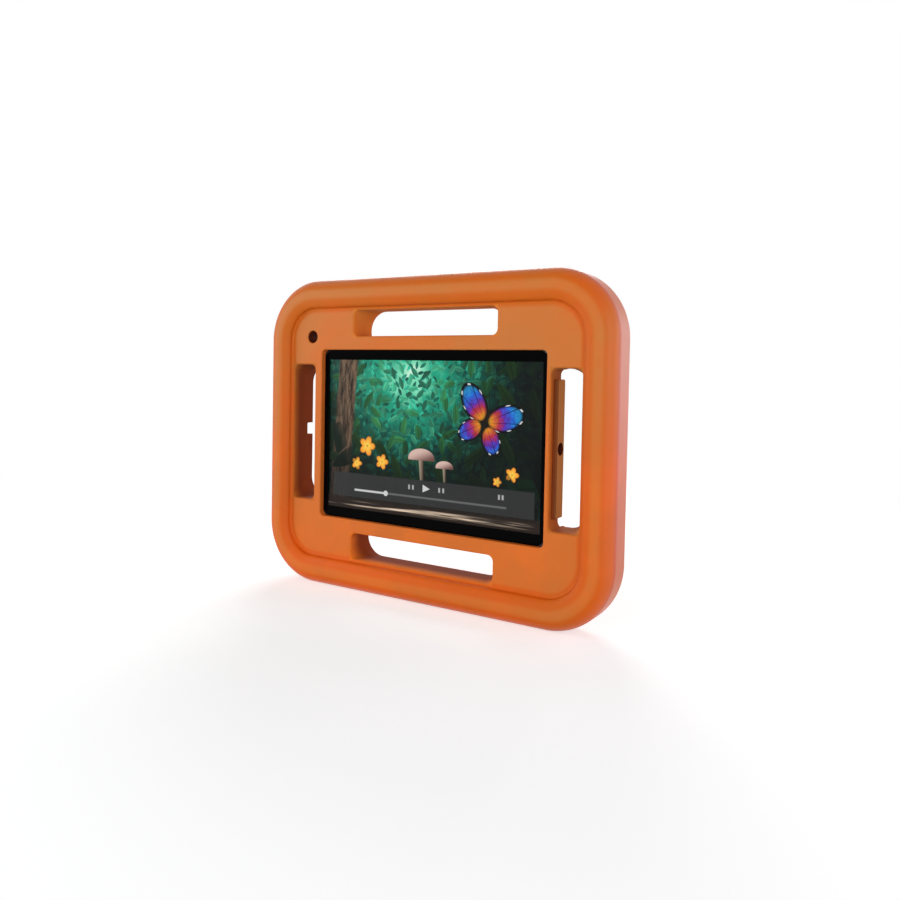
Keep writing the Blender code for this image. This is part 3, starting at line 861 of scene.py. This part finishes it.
forest = {
    "sun": (-0.30, 0.80),
    "sunRadii": (1.15, 1.0),
    "sunBand": (1.5, 0.05),
    "shadeBand": (0.6, 1.7),       # away from the sun the forest sinks into the dark
    "shade": 0.72,
    "hazeScale": 3.5,
    "sunHaze": 0.7,
    "skyHaze": 0.9,
    "skyStops": [
        (0.0, (0.80, 0.95, 0.82)), (0.07, (0.20, 0.72, 0.46)), (0.2, (0.015, 0.36, 0.21)),
        (0.42, (0.002, 0.10, 0.07)), (0.62, (0.001, 0.02, 0.016)), (1.0, (0.0005, 0.004, 0.003))],
    "middleKeep": (0.25, 0.6),     # nearer leaves keep off the sun
    "nearKeep": (0.7, 1.0),
    "edgeKeep": (0.85, 1.15),      # and the nearest grow at both sides, wider at the foot
    "edgeAside": 0.75,
    "edgeDown": 0.35,
    "butterfly": (0.84, 0.26),
    "mushrooms": ((-0.08, -0.24, 0.20), (0.27, -0.33, 0.13)),
    "blossoms": (
        (-0.95, -0.14, 0.13), (-0.70, -0.33, 0.10), (-1.12, -0.38, 0.085),
        (1.22, -0.34, 0.09), (1.02, -0.44, 0.06)),
}
leafLayers = {        # cells per unit of height, leaf size in cells, and how much light a leaf takes
    "tiny": {
        "scale": 12.0, "shift": 1.3, "lean": 0.1, "spread": 6.0, "length": 0.70, "width": 0.30, "bare": 0.1,
        "dark": (0.001, 0.05, 0.04), "light": (0.06, 0.80, 0.50), "base": 0.05, "gain": 1.0},
    "far": {
        "scale": 7.5, "shift": 3.1, "lean": 0.5, "spread": 5.0, "length": 0.70, "width": 0.27, "bare": 0.15,
        "dark": (0.001, 0.03, 0.025), "light": (0.10, 0.75, 0.42), "base": 0.07, "gain": 0.9},
    "middle": {
        "scale": 5.0, "shift": 7.7, "lean": 0.2, "spread": 4.0, "length": 0.74, "width": 0.25, "bare": 0.3,
        "dark": (0.002, 0.05, 0.02), "light": (0.10, 0.60, 0.20), "base": 0.10, "gain": 0.75},
    "near": {
        "scale": 3.1, "shift": 12.3, "lean": -0.4, "spread": 4.0, "length": 0.8, "width": 0.22, "bare": 0.45,
        "dark": (0.001, 0.015, 0.008), "light": (0.07, 0.28, 0.06), "base": 0.24, "gain": 0.5},
    "edge": {
        "scale": 2.3, "shift": 21.9, "lean": 0.9, "spread": 3.0, "length": 0.85, "width": 0.27, "bare": 0.1,
        "dark": (0.0005, 0.003, 0.002), "light": (0.003, 0.022, 0.010), "base": 0.8, "gain": 0.1},
}
leafForm = {"soft": 0.04, "rib": 0.5, "flat": 0.75, "fold": 0.8}
lineSoft = 0.008        # how softly the picture's straight edges end
paints = {
    "bark": (0.24, 0.15, 0.09),
    "darkBark": (0.010, 0.007, 0.004),
    "capLight": (0.66, 0.46, 0.40),
    "capDark": (0.16, 0.07, 0.06),
    "stem": (0.38, 0.30, 0.22),
    "ink": (0.002, 0.002, 0.003),
    "bar": (0.033, 0.033, 0.034),
    "track": (0.13, 0.13, 0.13),
    "mark": (0.62, 0.62, 0.62),
    "path": (0.80, 0.62, 0.46),
    "soil": (0.020, 0.013, 0.010),
}


def oval(finish, x, z, radii, turn=0.0):        # 0 in its middle, 1 on its edge
    along, across = finish.turned(x, z, turn)
    return (along / radii[0]).span(across / radii[1])


def inside(finish, reach, soft=0.04):
    return finish.step(reach, 1.0 + soft, 1.0 - soft)


def slab(finish, x, z, halfX, halfZ, soft=lineSoft):        # 1 inside an upright rectangle
    return finish.step((abs(x) - halfX).most(abs(z) - halfZ), soft, -soft)


def leafLayer(finish, under, x, z, sun, values, keep=1.0):
    place = finish.vector(x * values["scale"] + values["shift"], z * values["scale"])
    colour, middle = finish.node(
        "ShaderNodeTexVoronoi", {"voronoi_dimensions": "2D", "feature": "F1"},
        {"Vector": place, "Scale": 1.0}, out=("Color", "Position"))
    chance, other = finish.node("ShaderNodeSeparateColor", sockets={"Color": colour}, out=(0, 1))
    own = finish.node("ShaderNodeVectorMath", {"operation": "SUBTRACT"}, {0: place, 1: middle})
    turn = values["lean"] + (chance - 0.5) * values["spread"]
    leaf = finish.node("ShaderNodeVectorRotate", {"rotation_type": "Z_AXIS"}, {"Vector": own, "Angle": turn})
    along, across, _ = finish.parts(leaf)
    run = along / values["length"]
    side = abs(across)
    cover = finish.step(values["width"] * (1.0 - run * run) - side, 0.0, leafForm["soft"])
    rib = finish.step(side, 0.0, leafForm["soft"]) * (1.0 - leafForm["rib"]) + leafForm["rib"]
    light = (sun * values["gain"] + values["base"]) * rib * (leafForm["flat"] + across * leafForm["fold"])
    grey = finish.node("ShaderNodeCombineColor", sockets={"Red": light, "Green": light, "Blue": light})
    tone = finish.tint(1.0, finish.blend(other, values["dark"], values["light"]), grey)
    return finish.blend(cover * (other > values["bare"]) * keep, under, tone)


trunkForm = {
    "middle": -1.36, "lean": 0.08, "edgeBand": (0.17, 0.14), "ragged": 0.1,
    "barkAcross": 14.0, "barkAlong": 2.5, "barkBand": (0.35, 0.65),
}


def trunk(finish, under, x, z, form):
    bend = x - form["middle"] - z * form["lean"]
    place = finish.vector(bend * form["barkAcross"], z * form["barkAlong"])
    bark = finish.noise(place, 1.0, detail=5.0, roughness=0.7)
    light = finish.step(bark, *form["barkBand"])
    tone = finish.blend(light, paints["darkBark"], paints["bark"])
    edge = abs(bend) + (bark - 0.5) * form["ragged"]
    return finish.blend(finish.step(edge, *form["edgeBand"]), under, tone)


mushroomForm = {        # in shares of the cap's half width
    "stemLean": 0.1, "stemDrop": 0.65, "stemHalf": (0.2, 0.75), "stemLight": (-0.2, 0.25),
    "capHeight": 0.62, "capFoot": (-0.16, -0.1), "capLight": (-0.5, 0.75), "lightUp": 1.3, "lightLeft": 0.5,
}


def mushroom(finish, under, x, z, size, form):
    x = x / size
    z = z / size
    middle = x + z * form["stemLean"]
    stem = slab(finish, middle, z + form["stemDrop"], *form["stemHalf"], lineSoft / size)
    light = finish.step(x, *form["stemLight"])
    under = finish.blend(stem, under, finish.blend(light, paints["stem"], paints["darkBark"]))
    cap = inside(finish, oval(finish, x, z, (1.0, form["capHeight"]))) * finish.step(z, *form["capFoot"])
    light = finish.step(z * form["lightUp"] - x * form["lightLeft"], *form["capLight"])
    return finish.blend(cap, under, finish.blend(light, paints["capDark"], paints["capLight"]))


blossomForm = {
    "petals": 5, "notch": 0.42, "soft": 0.1,
    "stops": [(0.0, (0.50, 0.10, 0.01)), (0.22, (0.95, 0.62, 0.08)), (1.0, (0.88, 0.27, 0.02))],
}


def blossom(finish, under, x, z, size, form):
    wave = abs((z.bearing(x) * (form["petals"] / 2)).cosine())
    reach = x.span(z) / ((1.0 - form["notch"] + form["notch"] * wave) * size)
    return finish.blend(inside(finish, reach, form["soft"]), under, finish.ramp(reach, form["stops"]))


wingForm = {        # in shares of the butterfly's size; the picture shows it turned
    "size": 0.46,
    "turn": math.radians(-22),
    "wings": (
        {"side": 0.50, "up": 0.34, "radii": (0.60, 0.36), "turn": math.radians(38)},
        {"side": 0.34, "up": -0.36, "radii": (0.42, 0.29), "turn": math.radians(-52)}),
    "feeler": {"side": 0.13, "up": 0.62, "radii": (0.012, 0.24), "turn": math.radians(-24)},
    "body": (0.055, 0.44),
    "stops": [
        (0.0, (0.85, 0.62, 0.05)), (0.22, (0.85, 0.26, 0.02)), (0.42, (0.50, 0.03, 0.06)),
        (0.60, (0.10, 0.03, 0.45)), (0.80, (0.02, 0.14, 0.70)), (1.0, (0.02, 0.30, 0.62))],
    "scaleNoise": 9.0, "scaleSpread": 0.35,
    "veins": 8.0, "veinWidth": 0.2, "hem": (0.90, 0.70), "veinTone": 0.35,
    "dots": 11.0, "dotBand": (0.88, 0.96), "dotReach": 0.90, "dotWidth": (0.05, 0.035),
    "dotFrom": (0.25, 0.35), "wingSoft": 0.03, "bodySoft": 0.1,
}


def butterfly(finish, under, x, z, form):
    across, up = finish.turned(x / form["size"], z / form["size"], form["turn"])
    side = abs(across)
    upper, lower, feeler = [
        oval(finish, side - part["side"], up - part["up"], part["radii"], part["turn"])
        for part in (*form["wings"], form["feeler"])]
    reach = upper.least(lower)
    fan = up.bearing(side)
    veins = finish.step(abs((fan * form["veins"]).sine()), 0.0, form["veinWidth"])
    scales = finish.noise(finish.vector(across, up), form["scaleNoise"], detail=3.0)
    tone = finish.ramp(side.span(up) + (scales - 0.5) * form["scaleSpread"], form["stops"])
    inked = veins * finish.step(reach, *form["hem"]) * (form["veinTone"] + scales)
    tone = finish.blend(inked, paints["ink"], tone)
    dots = finish.step(abs((fan * form["dots"]).sine()), *form["dotBand"])
    dots = dots * finish.step(abs(reach - form["dotReach"]), *form["dotWidth"])
    tone = finish.blend(dots * finish.step(side, *form["dotFrom"]), tone, paints["mark"])
    under = finish.blend(inside(finish, reach, form["wingSoft"]), under, tone)
    body = oval(finish, across, up, form["body"]).least(feeler)
    return finish.blend(inside(finish, body, form["bodySoft"]), under, paints["darkBark"])


groundForm = {        # the soil at the picture's foot and the bright streaks on it
    "soilBand": (-0.80, -0.88), "pathHeight": -0.93, "pathBand": (0.045, 0.015),
    "streakAcross": 1.3, "streakUp": 30.0, "streakMiddle": 0.2, "streakFade": 0.16, "streakBand": (0.3, 0.62),
}
barForm = {
    "middle": -0.68, "halfHeight": 0.16, "halfWidth": 1.52, "cover": 0.9,
    "trackHeight": -0.74, "trackHalfWidth": 1.15, "trackHalfHeight": 0.012, "played": 0.55, "knob": 0.035,
    "markHeight": -0.62, "arrowBand": (0.065, 0.05), "arrowBack": (-0.055, -0.045), "arrowSlope": 2.2,
    "marks": (-0.26, -0.20, 0.20, 0.26, 1.05, 1.10), "markSize": (0.012, 0.028), "markTone": 0.7,
    "knobSoft": 0.15,
}


def ground(finish, under, x, z, form):
    under = finish.blend(finish.step(z, *form["soilBand"]), under, paints["soil"])
    streaks = finish.noise(finish.vector(x * form["streakAcross"], z * form["streakUp"]), 1.0)
    streaks = finish.step(streaks - abs(x - form["streakMiddle"]) * form["streakFade"], *form["streakBand"])
    path = finish.step(abs(z - form["pathHeight"]), *form["pathBand"])
    return finish.blend(path * streaks, under, paints["path"])


# A plain bar with a track, a knob and a few marks that any player has
def playBar(finish, under, x, z, form):
    bar = slab(finish, x, z - form["middle"], form["halfWidth"], form["halfHeight"])
    under = finish.blend(bar * form["cover"], under, paints["bar"])
    line = z - form["trackHeight"]
    end = form["trackHalfWidth"]
    knob = end * form["played"]        # left of the middle
    thick = form["trackHalfHeight"]
    under = finish.blend(slab(finish, x, line, end, thick), under, paints["track"])
    marks = slab(finish, x + (end + knob) / 2, line, (end - knob) / 2, thick)
    head = oval(finish, x + knob, line, (form["knob"], form["knob"]))
    marks = marks.most(inside(finish, head, form["knobSoft"]))
    line = z - form["markHeight"]
    arrow = finish.step(abs(line) * form["arrowSlope"] + x, *form["arrowBand"])
    marks = marks.most(arrow * finish.step(x, *form["arrowBack"]))
    for spot in form["marks"]:
        marks = marks.most(slab(finish, x - spot, line, *form["markSize"]) * form["markTone"])
    return finish.blend(marks, under, paints["mark"])


def pictureFinish(look):
    finish = Finish("screenPicture")
    wide, _, high = finish.parts(finish.place())
    x = (wide - screenMiddle.x) / look["pictureHalfHeight"]
    z = (high - screenMiddle.z) / look["pictureHalfHeight"]
    sunX, sunZ = forest["sun"]
    fromSun = oval(finish, x - sunX, z - sunZ, forest["sunRadii"])
    haze = finish.noise(finish.vector(x, z), forest["hazeScale"], detail=4.0) - 0.5
    sun = finish.step(fromSun + haze * forest["sunHaze"], *forest["sunBand"])
    picture = finish.ramp((fromSun + haze * forest["skyHaze"]) / 2.0, forest["skyStops"])
    for name in ("tiny", "far"):
        picture = leafLayer(finish, picture, x, z, sun, leafLayers[name])
    outer = finish.step(fromSun, *forest["middleKeep"])
    picture = leafLayer(finish, picture, x, z, sun, leafLayers["middle"], outer)
    picture = trunk(finish, picture, x, z, trunkForm)
    outer = finish.step(fromSun, *forest["nearKeep"])
    picture = leafLayer(finish, picture, x, z, sun, leafLayers["near"], outer)
    shade = finish.step(fromSun, *forest["shadeBand"])
    picture = finish.blend(shade * forest["shade"], picture, paints["ink"])
    for right, up, size in forest["mushrooms"]:
        picture = mushroom(finish, picture, x - right, z - up, size, mushroomForm)
    for right, up, size in forest["blossoms"]:
        picture = blossom(finish, picture, x - right, z - up, size, blossomForm)
    right, up = forest["butterfly"]
    picture = butterfly(finish, picture, x - right, z - up, wingForm)
    sides = finish.step(abs(x) * forest["edgeAside"] - z * forest["edgeDown"], *forest["edgeKeep"])
    picture = leafLayer(finish, picture, x, z, sun, leafLayers["edge"], sides)
    picture = playBar(finish, ground(finish, picture, x, z, groundForm), x, z, barForm)
    finish.set(colour=black, roughness=look["panelRoughness"], specular=look["panelSpecular"])
    finish.set(glow=picture, glowStrength=1.0)
    return finish.material


tabletLook = {
    "housing": ((0.40, 0.41, 0.43), 0.32),        # colour and roughness
    "port": ((0.52, 0.52, 0.53), 0.22),
    "gasketDepth": 0.0009,
    "blastScale": 2500.0, "blastDepth": 0.00002, "blastStrength": 0.4, "blastRoughness": 0.1,
    "boardColour": (0.02, 0.11, 0.05), "trackColour": (0.05, 0.2, 0.09), "boardRoughness": 0.4,
    "trackScale": 180.0, "trackGap": 0.02,
    "wrapColour": (0.03, 0.03, 0.033), "wrapRoughness": 0.35,
    "crinkleScale": 60.0, "crinkleDepth": 0.0004, "crinkleStrength": 0.3, "crinkleRoughness": 0.2,
}


# Blasted metal. In front of the given depth it is a black gasket, as round a cover glass.
def metalFinish(name, look, colour, roughness, gasketDepth):
    finish = Finish(name)
    place = finish.place()
    grain = finish.noise(place, look["blastScale"])
    metal = finish.parts(place)[1] > gasketDepth
    finish.set(colour=finish.blend(metal, screenLook["borderColour"], colour))
    finish.set(metallic=metal, roughness=roughness + grain * look["blastRoughness"])
    finish.set(normal=finish.bump(grain, look["blastDepth"], look["blastStrength"]))
    return finish.material


def boardFinish(look):
    finish = Finish("solderMask")
    x, _, z = finish.parts(finish.place())
    sockets = {"Vector": finish.vector(x, z), "Scale": look["trackScale"], "Mortar Size": look["trackGap"]}
    tracks = finish.node("ShaderNodeTexBrick", sockets=sockets, out="Fac")
    finish.set(colour=finish.blend(tracks, look["boardColour"], look["trackColour"]))
    finish.set(roughness=look["boardRoughness"])
    return finish.material


def wrapFinish(look):
    finish = Finish("batteryWrap")
    crinkle = finish.noise(finish.place(), look["crinkleScale"], detail=3.0)
    rough = look["wrapRoughness"] + crinkle * look["crinkleRoughness"]
    finish.set(colour=look["wrapColour"], roughness=rough)
    finish.set(normal=finish.bump(crinkle, look["crinkleDepth"], look["crinkleStrength"]))
    return finish.material


def dressNodes(look):
    gasketDepth = tabletLow.y + look["gasketDepth"]
    finishes = {
        "tablet_housing": metalFinish("blastedGreyMetal", look, *look["housing"], gasketDepth),
        "charging_port": metalFinish("portSteel", look, *look["port"], tabletLow.y),
        "cover_glass": glassFinish(screenLook),
        "display_panel": pictureFinish(screenLook),
        "main_board": boardFinish(look),
        "battery": wrapFinish(look),
    }
    for name, material in finishes.items():
        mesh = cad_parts[name].data
        mesh.materials.clear()
        mesh.materials.append(material)
    print("tablet dressed:", len(finishes), "nodes")


makeStudio()
makeFoamCase(caseShape, foamFinish(foamLook))
dressNodes(tabletLook)
